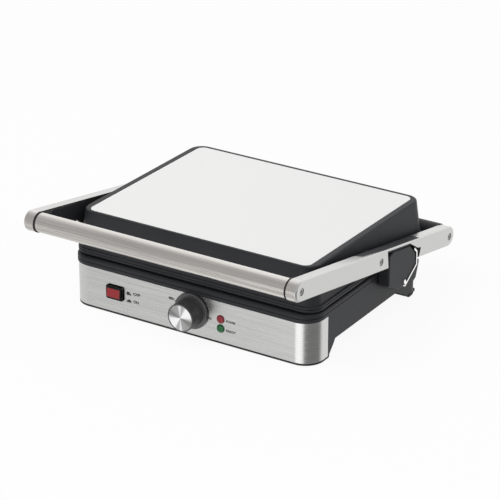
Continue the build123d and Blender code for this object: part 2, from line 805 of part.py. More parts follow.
# Release housing on the right side of the base: a guard in the arm's cut-out and a bracket behind it
guard_inner = arm_inner_x - 1.0
guard_outer = arm_outer_x - 1.0
guard_front = arm_point(cut_far - 4.5, 0)[0]
guard_rear = arm_point(cut_near + 10, 0)[0]
guard_top = arm_top - liner_bridge - 1
bracket_outer = guard_inner + 6.5
lever_gap = 0.6
lever_thick = 2.4
lever_width = 6.0
lever_pin_r = 2.0
lever_pin_y = guard_rear - 25.8
lever_pin_z = hinge_z - 15.7
with BuildPart() as release_housing:
    with BuildSketch(Plane.YZ.offset(guard_inner)):
        with BuildLine():
            FilletPolyline(
                (guard_front, hinge_z - 9),
                (guard_front, arm_point(cut_far - 9, guard_top - 4)[1]),
                arm_point(cut_far - 13, guard_top),
                arm_point(cut_near + 24, guard_top),
                (guard_rear, hinge_z + 10.5),
                (guard_rear, hinge_z - 3.9),
                (guard_rear - 29, hinge_z - 22),
                (guard_rear - 36, hinge_z - 22),
                radius=2.0,
                close=True,
            )
        make_face()
    extrude(amount=guard_outer - guard_inner)
    guard_edge = release_housing.faces().filter_by(Plane.YZ).sort_by(Axis.X)[-1]
    fillet(guard_edge.edges(), 1.6)
    with BuildSketch(Plane.YZ.offset(housing_half)):
        with BuildLine():
            FilletPolyline(
                (guard_front + 3, hinge_z - 11),
                (guard_front + 3, bracket_top),
                (guard_rear + 21.1, bracket_top),
                (guard_rear + 21.1, hinge_z - 11.5),
                (guard_rear + 14.8, hinge_z - 28.4),
                (guard_rear + 5, hinge_z - 33),
                (guard_rear - 34, hinge_z - 26),
                radius=2.0,
                close=True,
            )
        make_face()
    extrude(amount=bracket_outer - housing_half)
    with BuildSketch(Plane.YZ.offset(guard_outer - lever_width)):
        with Locations((lever_pin_y, lever_pin_z)):
            Circle(lever_pin_r + running_gap)
    extrude(amount=lever_width + 1, mode=Mode.SUBTRACT)
save(release_housing.part, "release_housing")

# Release lever: a bent strip round the back of the guard, on a pin at its lower end
strip_back = guard_rear + lever_gap
with BuildPart() as release_lever:
    with BuildSketch(Plane.YZ.offset(guard_outer - lever_width + 0.8)):
        with BuildLine():
            Polyline(
                (strip_back - 5.8, hinge_z + 16.8),
                (strip_back, hinge_z + 10.9),
                (strip_back, hinge_z - 3.9),
                (guard_rear - 26.2, hinge_z - 20.9),
                (guard_rear - 24.9, hinge_z - 22.9),
                (strip_back + lever_thick, hinge_z - 5.2),
                (strip_back + lever_thick, hinge_z + 11.8),
                (strip_back - 4.1, hinge_z + 18.5),
                close=True,
            )
        make_face()
    extrude(amount=lever_width)
    with BuildSketch(Plane.YZ.offset(guard_outer + 0.2)):
        with Locations((lever_pin_y + 1.1, lever_pin_z - 1.8)):
            SlotCenterToCenter(4.2, 4.4, rotation=-58)
    extrude(amount=0.6)
    with BuildSketch(Plane.YZ.offset(guard_outer - lever_width + 0.4)):
        with Locations((lever_pin_y, lever_pin_z)):
            Circle(lever_pin_r)
    extrude(amount=lever_width + 0.2)
save(release_lever.part, "release_lever")

# Rocker switch: a housing that stands out of the panel, with a clear well for the rocker
well_width = rocker_width + 2 * rocker_gap
well_height = rocker_height + 2 * rocker_gap
rocker_y = front_y + rocker_axis
pin_r = 1.2
pin_reach = 0.7
with BuildPart() as switch_housing:
    with BuildSketch(Plane.XZ.offset(-front_y)):
        with Locations((switch_x, switch_z)):
            RectangleRounded(switch_width, switch_height, 2)
    extrude(amount=switch_stand_out)
    with BuildSketch(Plane.XZ.offset(-front_y)):
        with Locations((switch_x, switch_z)):
            Rectangle(switch_width - 2 * switch_body_wall, switch_height - 2 * switch_body_wall)
    extrude(amount=-switch_deep)
    with BuildSketch(Plane.XZ.offset(-front_y + switch_stand_out + 1)):
        with Locations((switch_x, switch_z)):
            Rectangle(well_width, well_height)
    extrude(amount=-switch_deep + 4, mode=Mode.SUBTRACT)
    with BuildSketch(Plane.YZ.offset(switch_x - rocker_width / 2 - pin_reach - 0.1)):
        with Locations((rocker_y, switch_z)):
            Circle(pin_r + running_gap)
    extrude(amount=rocker_width + 2 * pin_reach + 0.2, mode=Mode.SUBTRACT)
    with BuildSketch(Plane.XZ.offset(-front_y - switch_deep)):
        with Locations((switch_x - 6, switch_z), (switch_x + 6, switch_z)):
            Rectangle(0.8, 6)
    extrude(amount=-7)
save(switch_housing.part, "switch_housing")

# The rocker stands with its upper half pressed in
with BuildPart() as rocker:
    rocker_face = -switch_stand_out - rocker_axis - 2.6
    half_rocker = rocker_height / 2
    profile = [
        (rocker_face, -half_rocker + 0.4),
        (rocker_face + 1.2, 0),
        (rocker_face, half_rocker - 0.4),
        (-1.0, half_rocker - 0.4),
        (4.0, 2.2),
        (4.0, -2.2),
        (-1.0, -half_rocker + 0.4),
    ]
    lean = radians(-rocker_tilt)
    leaning = [
        (rocker_y + y * cos(lean) - z * sin(lean), switch_z + y * sin(lean) + z * cos(lean)) for y, z in profile
    ]
    with BuildSketch(Plane.YZ.offset(switch_x - rocker_width / 2)):
        with BuildLine():
            Polyline(*leaning, close=True)
        make_face()
    extrude(amount=rocker_width)
    with BuildSketch(Plane.YZ.offset(switch_x - rocker_width / 2 - pin_reach)):
        with Locations((rocker_y, switch_z)):
            Circle(pin_r)
    extrude(amount=rocker_width + 2 * pin_reach)
save(rocker.part, "rocker")

# Lamps: two domed lenses in holders behind the wall
for name, spot in (("power_lamp", lamp_spots[0]), ("ready_lamp", lamp_spots[1])):
    with BuildPart() as lamp:
        with BuildSketch(Plane.XZ.offset(-front_y)):
            with Locations(spot):
                Circle(lamp_r)
        extrude(amount=lamp_stand_out)
        fillet(lamp.edges().filter_by(GeomType.CIRCLE).sort_by(Axis.Y)[0], lamp_stand_out - 0.5)
        with BuildSketch(Plane.XZ.offset(-front_y)):
            with Locations(spot):
                Circle(lamp_r - 1)
        extrude(amount=-8)
    save(lamp.part, name)
with BuildPart() as lamp_holders:
    with BuildSketch(Plane.XZ.offset(-wall_in_y)):
        with Locations(*lamp_spots):
            Circle(lamp_r + 0.6)
            Circle(lamp_r - 1, mode=Mode.SUBTRACT)
    extrude(amount=-14)
save(lamp_holders.part, "lamp_holders")

# Thermostat behind the knob, with its spindle through the panel
bracket_sheet = 1.2
thermostat_deep = 22.0
with BuildPart() as thermostat:
    with BuildSketch(Plane.XZ.offset(-wall_in_y)):
        with Locations((knob_x, knob_z)):
            Rectangle(30, 20)
            Circle(spindle_r + 0.9, mode=Mode.SUBTRACT)
    extrude(amount=-bracket_sheet)
    with BuildSketch(Plane.XZ.offset(-wall_in_y - bracket_sheet)):
        with Locations((knob_x, knob_z)):
            RectangleRounded(24, 12, 2)
            Circle(spindle_r + running_gap, mode=Mode.SUBTRACT)
    extrude(amount=-thermostat_deep)
save(thermostat.part, "thermostat")
with BuildPart() as spindle:
    spindle_back = wall_in_y + 16
    with BuildSketch(Plane.XZ.offset(-spindle_back)):
        with Locations((knob_x, knob_z)):
            Circle(spindle_r)
    extrude(amount=spindle_back - front_y + spindle_in)
save(spindle.part, "thermostat_spindle")

# Knob: a round body with a flange, and a spun metal cap let into its front
knob_back = front_y - knob_gap
knob_front = knob_back - knob_length
with BuildPart() as knob_body:
    with BuildSketch(Plane.XZ.offset(-knob_back)):
        with Locations((knob_x, knob_z)):
            Circle(knob_flange_r)
    extrude(amount=knob_flange)
    with BuildSketch(Plane.XZ.offset(-knob_back + knob_flange)):
        with Locations((knob_x, knob_z)):
            Circle(knob_r)
    extrude(amount=knob_length - knob_flange, taper=0.6)
    with BuildSketch(Plane.XZ.offset(-knob_front)):
        with Locations((knob_x, knob_z)):
            Circle(knob_cap_r)
    extrude(amount=-knob_cap_thick, mode=Mode.SUBTRACT)
    with BuildSketch(Plane.XZ.offset(-knob_back)):
        with Locations((knob_x, knob_z)):
            Circle(spindle_r)
    extrude(amount=spindle_in - knob_gap, mode=Mode.SUBTRACT)
save(knob_body.part, "knob_body")
with BuildPart() as knob_cap:
    with BuildSketch(Plane.XZ.offset(-knob_front)):
        with Locations((knob_x, knob_z)):
            Circle(knob_cap_r)
    extrude(amount=-knob_cap_thick)
save(knob_cap.part, "knob_cap")

# Cord inlet at the back, a terminal block and a safety cut-out inside
gland_x = -half_base * 0.36
gland_z = 38.0
with BuildPart() as cord_gland:
    with BuildSketch(Plane.XZ.offset(-rear_y)):
        with Locations((gland_x, gland_z)):
            Circle(8)
            Circle(3.8, mode=Mode.SUBTRACT)
    extrude(amount=-9)
save(cord_gland.part, "cord_gland")
with BuildPart() as terminal_block:
    with BuildSketch(Plane.XY.offset(cover_high + sheet)):
        with Locations((gland_x, rear_y - 40)):
            Rectangle(36, 14)
    extrude(amount=9)
save(terminal_block.part, "terminal_block")
with BuildPart() as thermal_fuse:
    with BuildSketch(Plane.XY.offset(cover_high + sheet)):
        with Locations((-gland_x, rear_y - 60)):
            Rectangle(26, 8)
    extrude(amount=5)
save(thermal_fuse.part, "thermal_fuse")
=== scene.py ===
import json
from math import atan2, cos, pi, radians, sin

import bpy
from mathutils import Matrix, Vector


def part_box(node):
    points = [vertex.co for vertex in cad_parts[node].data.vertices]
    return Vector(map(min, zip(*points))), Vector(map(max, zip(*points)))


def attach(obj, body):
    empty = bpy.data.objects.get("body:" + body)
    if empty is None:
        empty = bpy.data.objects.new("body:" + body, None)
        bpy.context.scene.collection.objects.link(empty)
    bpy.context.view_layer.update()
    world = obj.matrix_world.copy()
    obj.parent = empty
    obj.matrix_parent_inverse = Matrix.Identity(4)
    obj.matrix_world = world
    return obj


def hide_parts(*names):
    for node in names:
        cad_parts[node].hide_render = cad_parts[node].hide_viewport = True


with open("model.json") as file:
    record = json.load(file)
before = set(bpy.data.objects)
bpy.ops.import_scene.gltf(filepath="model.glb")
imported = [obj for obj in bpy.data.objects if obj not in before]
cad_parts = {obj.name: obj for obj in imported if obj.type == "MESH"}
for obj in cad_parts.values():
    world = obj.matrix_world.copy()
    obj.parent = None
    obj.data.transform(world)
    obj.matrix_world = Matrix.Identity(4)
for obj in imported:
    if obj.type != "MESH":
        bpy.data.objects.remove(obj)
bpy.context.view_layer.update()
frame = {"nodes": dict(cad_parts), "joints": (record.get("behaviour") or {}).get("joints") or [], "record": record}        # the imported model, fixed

mm = 0.001
hair = 1e-6              # metres: nearer than this counts as the same place
thread = 1e-5            # the same, for places on turned or rounded shapes
cutPast = 5 * mm         # how far a cutting block reaches past the face that it cuts
cutOver = 1 * mm         # the same, where there is little room
nodes = frame["nodes"]
record = frame["record"]
joints = {j["name"]: j for j in frame["joints"]}


def low(node):
    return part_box(node)[0]


def middle(node):
    lo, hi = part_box(node)
    return (lo + hi) / 2


# Places that many pieces share, read from the frame
frontY = low("front_panel").y
hingeAt = Vector(joints["arm_hinge"]["pos_m"])
pivotAt = Vector(joints["lid_float"]["pos_m"])
handleAt = middle("handle_tube")
armSlope = atan2(handleAt.z - hingeAt.z, hingeAt.y - handleAt.y)
armRun = (Vector((0, handleAt.y, handleAt.z)) - Vector((0, hingeAt.y, hingeAt.z))).length
print("frame loaded:", len(nodes), "nodes")


# Modelling helpers

def clearSelection():
    if bpy.context.mode != "OBJECT":
        bpy.ops.object.mode_set(mode="OBJECT")
    bpy.ops.object.select_all(action="DESELECT")


def pick(*pieces):
    clearSelection()
    for piece in pieces:
        piece.select_set(True)
    bpy.context.view_layer.objects.active = pieces[0]


def settle(name):
    # names the new primitive and moves its place into its mesh
    piece = bpy.context.object
    bpy.ops.object.transform_apply(location=True, rotation=True, scale=True)
    piece.name = name
    piece.data.name = name
    return piece


def addBlock(name, lo, hi, turn=(0, 0, 0), centre=None):
    clearSelection()
    lo, hi = Vector(lo), Vector(hi)
    at = (lo + hi) / 2 if centre is None else Vector(centre)
    bpy.ops.mesh.primitive_cube_add(size=1, location=at, rotation=turn, scale=hi - lo)
    return settle(name)


def addRod(name, axis, radius, start, end, sides=64):
    # a cylinder from start to end, two points on a line along x, y or z
    clearSelection()
    start, end = Vector(start), Vector(end)
    turn = {"x": (0, pi / 2, 0), "y": (pi / 2, 0, 0), "z": (0, 0, 0)}[axis]
    bpy.ops.mesh.primitive_cylinder_add(
        vertices=sides, radius=radius, depth=(end - start).length, location=(start + end) / 2,
        rotation=turn)
    return settle(name)


def shape(piece, kind, test, *steps):
    # selects the verts, edges or faces that pass the test, then runs the edit-mode steps on them
    pick(piece)
    bpy.ops.object.mode_set(mode="EDIT")
    bpy.ops.mesh.select_mode(type=kind)
    bpy.ops.mesh.select_all(action="DESELECT")
    bpy.ops.object.mode_set(mode="OBJECT")
    mesh = piece.data
    if kind == "VERT":
        for v in mesh.vertices:
            v.select = bool(test(v.co))
    elif kind == "EDGE":
        for e in mesh.edges:
            a, b = (mesh.vertices[i].co for i in e.vertices)
            e.select = bool(test(a, b))
    else:
        for f in mesh.polygons:
            f.select = bool(test(f.center, f.normal))
    bpy.ops.object.mode_set(mode="EDIT")
    for step in steps:
        step()
    bpy.ops.object.mode_set(mode="OBJECT")


def bevel(size, segments):
    return lambda: bpy.ops.mesh.bevel(offset=size, segments=segments, profile=0.5, affect="EDGES")


def inset(size, depth=0.0, each=False):
    return lambda: bpy.ops.mesh.inset(thickness=size, depth=depth, use_individual=each)


def extrude(x, y, z):
    return lambda: bpy.ops.mesh.extrude_region_move(TRANSFORM_OT_translate={"value": (x, y, z)})


def move(x, y, z):
    return lambda: bpy.ops.transform.translate(value=(x, y, z))


def scale(x, y, z, centre):
    return lambda: bpy.ops.transform.resize(value=(x, y, z), center_override=centre)


def delete(kind):
    return lambda: bpy.ops.mesh.delete(type=kind)


def addPrism(name, points, rise):
    # a prism whose base runs through the points, drawn out by rise
    clearSelection()
    bpy.ops.mesh.primitive_circle_add(vertices=len(points), radius=1, fill_type="NGON")
    piece = settle(name)
    starts = [v.co.copy() for v in piece.data.vertices]
    for start, point in zip(starts, points):
        shape(piece, "VERT", lambda p, s=start: (p - s).length < hair, move(*(Vector(point) - start)))
    shape(piece, "FACE", lambda c, n: True, extrude(*rise))
    pick(piece)
    bpy.ops.object.mode_set(mode="EDIT")
    bpy.ops.mesh.select_all(action="SELECT")
    bpy.ops.mesh.normals_make_consistent(inside=False)
    bpy.ops.object.mode_set(mode="OBJECT")
    return piece


def upright(a, b):
    return abs(a.x - b.x) < hair and abs(a.y - b.y) < hair


def applied(piece, kind, **settings):
    pick(piece)
    modifier = piece.modifiers.new(kind.title(), kind)
    for key, value in settings.items():
        setattr(modifier, key, value)
    bpy.ops.object.modifier_apply(modifier=modifier.name)
    return piece


def cutWith(piece, *tools):
    for tool in tools:
        applied(piece, "BOOLEAN", operation="DIFFERENCE", solver="EXACT", object=tool)
    for tool in tools:
        bpy.data.objects.remove(tool)
    return piece


def softEdges(piece, size, segments=2):
    return applied(
        piece, "BEVEL", width=size, segments=segments, limit_method="ANGLE",
        angle_limit=radians(35), harden_normals=False)


def smooth(piece, angle=35):
    pick(piece)
    bpy.ops.object.shade_smooth_by_angle(angle=radians(angle))
    return applied(piece, "WEIGHTED_NORMAL", keep_sharp=True, weight=100)


def finished(piece, material, body, slot, *stands):
    # gives the piece its material and body, and hides the CAD nodes that it stands for
    piece.data.materials.clear()
    piece.data.materials.append(material)
    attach(piece, body)
    if stands:
        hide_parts(*stands)
    return piece


# Materials

def linear(code):
    # an sRGB hex colour as linear RGBA
    parts = [int(code[i:i + 2], 16) / 255 for i in (1, 3, 5)]
    return [p / 12.92 if p <= 0.04045 else ((p + 0.055) / 1.055) ** 2.4 for p in parts] + [1.0]


def newMaterial(name):
    material = bpy.data.materials.new(name)
    material.use_nodes = True
    tree = material.node_tree
    shader = tree.nodes["Principled BSDF"]
    return material, tree, shader


def addNode(tree, kind, settings=None, inputs=None):
    # adds a node; an input is a value or an output socket to link from
    node = tree.nodes.new(kind)
    for key, value in (settings or {}).items():
        setattr(node, key, value)
    for key, value in (inputs or {}).items():
        if isinstance(value, bpy.types.NodeSocket):
            tree.links.new(value, node.inputs[key])
        else:
            node.inputs[key].default_value = value
    return node


def setShader(shader, **values):
    names = {
        "colour": "Base Color", "metal": "Metallic", "rough": "Roughness", "ior": "IOR",
        "coat": "Coat Weight", "coatRough": "Coat Roughness", "aniso": "Anisotropic",
        "transmission": "Transmission Weight", "specular": "Specular IOR Level",
    }
    for key, value in values.items():
        shader.inputs[names[key]].default_value = value


def objectPoint(tree, stretch):
    # object coordinates stretched per axis, so that noise reads as grain or brush lines
    coords = addNode(tree, "ShaderNodeTexCoord")
    mapping = addNode(tree, "ShaderNodeMapping", inputs={
        "Vector": coords.outputs["Object"], "Scale": stretch})
    return mapping.outputs["Vector"]


noiseLow, noiseHigh = 0.3, 0.7        # a noise texture hardly leaves this range


def varied(tree, factor, dark, light, fromLow=noiseLow, fromHigh=noiseHigh):
    # maps a noise factor onto two colours
    ramp = addNode(tree, "ShaderNodeMapRange", inputs={
        "Value": factor, "From Min": fromLow, "From Max": fromHigh, "To Min": 0.0, "To Max": 1.0})
    mix = addNode(tree, "ShaderNodeMix", {"data_type": "RGBA"}, {
        "Factor": ramp.outputs["Result"], "A": linear(dark), "B": linear(light)})
    return mix.outputs["Result"]


def bandRamp(tree, factor, stops):
    # brightness along a scale of 0 to 1, halved in the ramp and doubled after it
    ramp = addNode(tree, "ShaderNodeValToRGB", inputs={"Fac": factor})
    elements = ramp.color_ramp.elements
    while len(elements) > 1:
        elements.remove(elements[-1])
    for index, (place, level) in enumerate(stops):
        element = elements[0] if index == 0 else elements.new(place)
        element.position = place
        element.color = (level / 2, level / 2, level / 2, 1)
    doubled = addNode(tree, "ShaderNodeMath", {"operation": "MULTIPLY"}, {
        0: ramp.outputs["Color"], 1: 2.0})
    return doubled.outputs["Value"]


def addSurface(tree, shader, pattern, strength, depth, rough=None, less=0.0, more=0.0):
    # the relief of a pattern, depth in mm, and a roughness that wanders with it
    if rough is not None:
        level = addNode(tree, "ShaderNodeMapRange", inputs={
            "Value": pattern, "From Min": noiseLow, "From Max": noiseHigh,
            "To Min": rough - less, "To Max": rough + more})
        tree.links.new(level.outputs["Result"], shader.inputs["Roughness"])
    bump = addNode(tree, "ShaderNodeBump", inputs={
        "Height": pattern, "Strength": strength, "Distance": depth * mm})
    tree.links.new(bump.outputs["Normal"], shader.inputs["Normal"])


def mouldedPlastic(name, dark, light, grain=0.45, rough=0.42, depth=0.02, specular=0.5):
    # moulded plastic or rubber with a fine grain: satin, its tone drifting a little over the surface;
    # the grain, in mm, is drawn coarser than the real one so that it shows
    material, tree, shader = newMaterial(name)
    fine = addNode(tree, "ShaderNodeTexNoise", inputs={
        "Vector": objectPoint(tree, (1, 1, 1)), "Scale": 1 / (grain * mm), "Detail": 3.0})
    broad = addNode(tree, "ShaderNodeTexNoise", inputs={
        "Vector": objectPoint(tree, (1, 1, 1)), "Scale": 1 / (60 * mm), "Detail": 2.0})
    tree.links.new(varied(tree, broad.outputs["Fac"], dark, light), shader.inputs["Base Color"])
    addSurface(tree, shader, fine.outputs["Fac"], 0.35, depth, rough, 0.05, 0.06)
    setShader(shader, specular=specular)
    return material


def brushedMetal(name, dark, light, along, rough=0.3, aniso=0.6, line=0.35, depth=0.004):
    # metal brushed along one axis, or all along a bent sheet: fine streaks, sheen square to them;
    # a streak's width, line in mm, is drawn wider than the real one so that it shows
    material, tree, shader = newMaterial(name)
    across = 1 / (line * mm)
    slow = 1 / (90 * mm)
    stretch = {
        "x": (slow, across, across), "y": (across, slow, across), "wrap": (slow, slow, across),
    }[along]
    streak = addNode(tree, "ShaderNodeTexNoise", inputs={
        "Vector": objectPoint(tree, stretch), "Scale": 1.0, "Detail": 4.0, "Roughness": 0.6})
    tree.links.new(varied(tree, streak.outputs["Fac"], dark, light), shader.inputs["Base Color"])
    addSurface(tree, shader, streak.outputs["Fac"], 0.25, depth, rough, 0.05, 0.07)
    setShader(shader, metal=1.0, aniso=aniso)
    return material


def simpleMetal(name, code, rough, scratch=0.5):
    # plated or cast metal with a faint uneven polish
    material, tree, shader = newMaterial(name)
    noise = addNode(tree, "ShaderNodeTexNoise", inputs={
        "Vector": objectPoint(tree, (1, 1, 1)), "Scale": 1 / (scratch * mm), "Detail": 3.0})
    addSurface(tree, shader, noise.outputs["Fac"], 0.2, 0.01, rough, 0.06, 0.08)
    setShader(shader, colour=linear(code), metal=1.0)
    return material


def enamel(name, code, rough=0.22):
    # stoved gloss paint on pressed sheet: clean colour with a slight orange peel
    material, tree, shader = newMaterial(name)
    peel = addNode(tree, "ShaderNodeTexNoise", inputs={
        "Vector": objectPoint(tree, (1, 1, 1)), "Scale": 1 / (1.6 * mm), "Detail": 1.0})
    addSurface(tree, shader, peel.outputs["Fac"], 0.12, 0.01, rough, 0.03, 0.03)
    setShader(shader, colour=linear(code), coat=0.3, coatRough=0.1)
    return material


def clearLens(name, code):
    # tinted polycarbonate: clear colour over small facets, polished face
    material, tree, shader = newMaterial(name)
    facets = addNode(tree, "ShaderNodeTexVoronoi", inputs={
        "Vector": objectPoint(tree, (1, 1, 1)), "Scale": 1 / (1.1 * mm)})
    addSurface(tree, shader, facets.outputs["Distance"], 0.25, 0.1)
    setShader(
        shader, colour=linear(code), rough=0.2, ior=1.5, transmission=0.15, coat=0.15, coatRough=0.08)
    return material


def nonStickCoat(name):
    # sprayed non-stick coat on cast aluminium: near black, its mineral speckle drawn coarse to show
    material, tree, shader = newMaterial(name)
    speck = addNode(tree, "ShaderNodeTexNoise", inputs={
        "Vector": objectPoint(tree, (1, 1, 1)), "Scale": 1 / (0.7 * mm), "Detail": 2.0})
    tree.links.new(
        varied(tree, speck.outputs["Fac"], "#1b1b1c", "#3a3938", 0.6, 0.78), shader.inputs["Base Color"])
    addSurface(tree, shader, speck.outputs["Fac"], 0.3, 0.03)
    setShader(shader, rough=0.38, specular=0.45)
    return material


def spunCap(name):
    # aluminium disc turned on a lathe: fine rings, and a painted reflection in its colour, bright and
    # dark fan shapes round the middle;
    # the rings are drawn wider than real tool marks so that they show
    material, tree, shader = newMaterial(name)
    coords = addNode(tree, "ShaderNodeTexCoord")
    knobAt = joints["knob_turn"]["pos_m"]
    centred = addNode(tree, "ShaderNodeMapping", inputs={
        "Vector": coords.outputs["Object"], "Location": (-knobAt[0], 0, -knobAt[2])})
    apart = addNode(tree, "ShaderNodeSeparateXYZ", inputs={"Vector": centred.outputs["Vector"]})
    angle = addNode(tree, "ShaderNodeMath", {"operation": "ARCTAN2"}, {
        0: apart.outputs["Z"], 1: apart.outputs["X"]})
    flat = addNode(tree, "ShaderNodeCombineXYZ", inputs={
        "X": apart.outputs["X"], "Y": apart.outputs["Z"]})
    radius = addNode(tree, "ShaderNodeVectorMath", {"operation": "LENGTH"}, {0: flat.outputs["Vector"]})
    rings = addNode(tree, "ShaderNodeTexNoise", {"noise_dimensions": "1D"}, {
        "W": radius.outputs["Value"], "Scale": 1 / (0.25 * mm), "Detail": 2.0})
    # painted reflection: brightness round the disc in wide and narrow fan shapes that pair up across the
    # middle
    turn = addNode(tree, "ShaderNodeMapRange", inputs={
        "Value": angle.outputs["Value"], "From Min": -pi, "From Max": pi, "To Min": 0.0, "To Max": 2.0})
    half = addNode(tree, "ShaderNodeMath", {"operation": "FRACT"}, {0: turn.outputs["Result"]})
    paintedReflectionFans = bandRamp(tree, half.outputs["Value"], [
        (0.0, 0.35), (0.07, 0.9), (0.12, 1.0), (0.32, 1.0), (0.38, 0.45), (0.45, 0.35), (0.5, 0.75),
        (0.54, 0.8), (0.58, 0.3), (0.78, 0.25), (0.86, 0.1), (0.95, 0.12), (1.0, 0.35)])
    tone = addNode(tree, "ShaderNodeMix", {"data_type": "RGBA"}, {
        "Factor": paintedReflectionFans, "A": linear("#6c6c6b"), "B": linear("#ffffff")})
    tree.links.new(tone.outputs["Result"], shader.inputs["Base Color"])
    addSurface(tree, shader, rings.outputs["Fac"], 0.3, 0.01)
    setShader(shader, metal=1.0, rough=0.28)
    return material


blackPlastic = mouldedPlastic("Black grained ABS", "#2a2b2e", "#2f3033", rough=0.5, specular=0.22)
knobPlastic = mouldedPlastic(
    "Black satin phenolic", "#434344", "#4c4c4d", grain=0.3, rough=0.36, depth=0.01, specular=0.8)
switchPlastic = mouldedPlastic(
    "Black switch nylon", "#2a2b2b", "#303131", grain=0.25, rough=0.35, depth=0.008)
rubberBlack = mouldedPlastic(
    "Black silicone rubber", "#1a1a1a", "#202020", grain=0.6, rough=0.7, depth=0.03)
naturalNylon = mouldedPlastic("Natural nylon", "#d8d6cb", "#e2e0d6", grain=0.5, rough=0.5)
glazedCeramic = mouldedPlastic("Glazed steatite", "#cfcbc0", "#dad6cc", grain=0.8, rough=0.3)
panelSteel = brushedMetal(
    "Brushed stainless sheet", "#babab9", "#c4c4c3", "wrap", rough=0.24, aniso=0.6, depth=0.0025)
tubeSteel = brushedMetal(
    "Brushed stainless tube", "#b3afab", "#d6d2ce", "x", rough=0.2, aniso=0.3, line=0.5)
armAluminium = brushedMetal("Satin cast aluminium", "#b8b8b7", "#c2c2c1", "y", rough=0.32, aniso=0.2)
brightSheet = simpleMetal("Aluminised steel sheet", "#c3c3c0", 0.35)
zincPlate = simpleMetal("Zinc plated steel", "#b5b6b4", 0.32)
# the screws' nickel plate is coloured darker than it is, as painted shade of the sunk recesses round the
# screws
screwPlatePaintedShade = simpleMetal("Nickel plate darkened as painted shade", "#8f8f8e", 0.22)
leverSteel = simpleMetal("Polished stainless strip", "#e0e0de", 0.24)
heaterSheath = simpleMetal("Heat darkened heater sheath", "#5a5652", 0.42)
darkSheet = enamel("Black painted sheet", "#1d1d1e", 0.45)
whiteEnamel = enamel("White gloss enamel", "#f4f4f3")
redRocker = clearLens("Red translucent rocker", "#b0262c")
redLens = clearLens("Red lamp lens", "#a81c30")
greenLens = clearLens("Green lamp lens", "#067038")
nonStick = nonStickCoat("Non-stick coated casting")
turnedCap = spunCap("Turned aluminium cap")
printInk = enamel("Dark printed ink", "#141415", 0.6)

slotMaterials = {
    "black_plastic": blackPlastic, "brushed_steel": panelSteel, "dark_sheet": darkSheet,
    "zinc": zincPlate, "rubber": rubberBlack, "nonstick": nonStick, "element": heaterSheath,
    "bright_sheet": brightSheet, "switch_black": switchPlastic, "red_lens": redLens,
    "green_lens": greenLens, "white_nylon": naturalNylon, "ceramic": glazedCeramic,
    "arm_aluminium": armAluminium, "tube_steel": tubeSteel, "chrome_screw": screwPlatePaintedShade,
    "white_panel": whiteEnamel, "knob_black": knobPlastic, "spun_cap": turnedCap,
    "red_rocker": redRocker, "lever_steel": leverSteel,
}
for part in record["subparts"]:
    cadNode = nodes[part["node"]]
    cadNode.data.materials.clear()
    cadNode.data.materials.append(slotMaterials[part["material_slot"]])
print("materials made")


# Front panel: a bent stainless sheet with rounded front corners

panelDims = dict(
    sheet=0.8 * mm, cornerRadius=24 * mm, cornerSegments=20, edge=0.15 * mm, switchRim=1.5 * mm,
)


def makeFrontPanel():
    d = panelDims
    lo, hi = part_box("front_panel")
    piece = addBlock("frontPanel", lo, hi)
    shape(
        piece, "EDGE", lambda a, b: upright(a, b) and a.y < lo.y + hair,
        bevel(d["cornerRadius"], d["cornerSegments"]))
    shape(piece, "FACE", lambda c, n: abs(n.z) > 0.9 or n.y > 0.9, delete("FACE"))
    applied(piece, "SOLIDIFY", thickness=d["sheet"], offset=-1)
    bezelLo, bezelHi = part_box("switch_housing")
    rim = d["switchRim"]
    hole = addBlock(
        "hole", (bezelLo.x + rim, lo.y - cutPast, bezelLo.z + rim),
        (bezelHi.x - rim, lo.y + cutPast, bezelHi.z - rim))
    cutWith(piece, hole)
    softEdges(piece, d["edge"])
    smooth(piece, 30)
    finished(piece, panelSteel, "base", "brushed_steel", "front_panel")


makeFrontPanel()
print("front panel made")


# Handle: brushed tube between two black rings

handleDims = dict(tubeEdge=0.3 * mm, ringEdge=0.5 * mm, sides=128)


def makeHandle():
    d = handleDims
    lo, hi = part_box("handle_tube")
    radius = (hi.z - lo.z) / 2
    tube = addRod(
        "handleTube", "x", radius, (lo.x, handleAt.y, handleAt.z), (hi.x, handleAt.y, handleAt.z),
        d["sides"])
    softEdges(tube, d["tubeEdge"])
    smooth(tube)
    finished(tube, tubeSteel, "arms", "tube_steel", "handle_tube")
    ringLo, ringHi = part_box("handle_ring_right")
    outerX = ringHi.x
    innerX = hi.x
    for side, name in ((1, "handle_ring_right"), (-1, "handle_ring_left")):
        ring = addRod(
            "ringRight" if side > 0 else "ringLeft", "x", (ringHi.z - ringLo.z) / 2,
            (side * innerX, handleAt.y, handleAt.z), (side * outerX, handleAt.y, handleAt.z),
            d["sides"])
        softEdges(ring, d["ringEdge"], 3)
        smooth(ring)
        finished(ring, rubberBlack, "arms", "black_plastic", name)


makeHandle()
print("handle made")


# Arms: cast bars with round ends, the right one cut away under a thin flange

armDims = dict(
    edge=2.4 * mm, edgeSegments=5, sides=96, screwRadius=4.5 * mm, screwDepth=2.5 * mm, screwSides=48,
    cutNear=73 * mm, cutFar=151 * mm, flange=2.0 * mm,
    # the gusset, from cutNear along the arm and up from its middle line, in mm
    gusset=[(-1, 0.4), (7, 1.2), (15, 4.6)], gussetFoot=4 * mm, gussetTop=28 * mm,
    flangeEnd=3.8 * mm, farFoot=6.6 * mm,
    # the notch of the liner, its outer wall thicker in two steps
    notchNear=75.5 * mm, notchStraight=82.5 * mm, notchBend=100.5 * mm, notchFar=208 * mm,
    notchEnd=3 * mm, notchWalls=(1.9 * mm, 3.3 * mm, 5.7 * mm),
    linerThick=3 * mm, linerMargin=30 * mm, linerRim=2.5 * mm,
    linerRound=0.98,        # share of a full round at the pocket's ends
    # the liner's flap, from notchFar along the arm and from the arm's lower edge, in mm
    flap=[(-20, -2), (-15, -6), (50, -6), (60, 1)],
    capRadius=12.3 * mm, capSeam=2.6 * mm, capFit=0.05 * mm, capEdge=0.5 * mm, capSides=128,
)


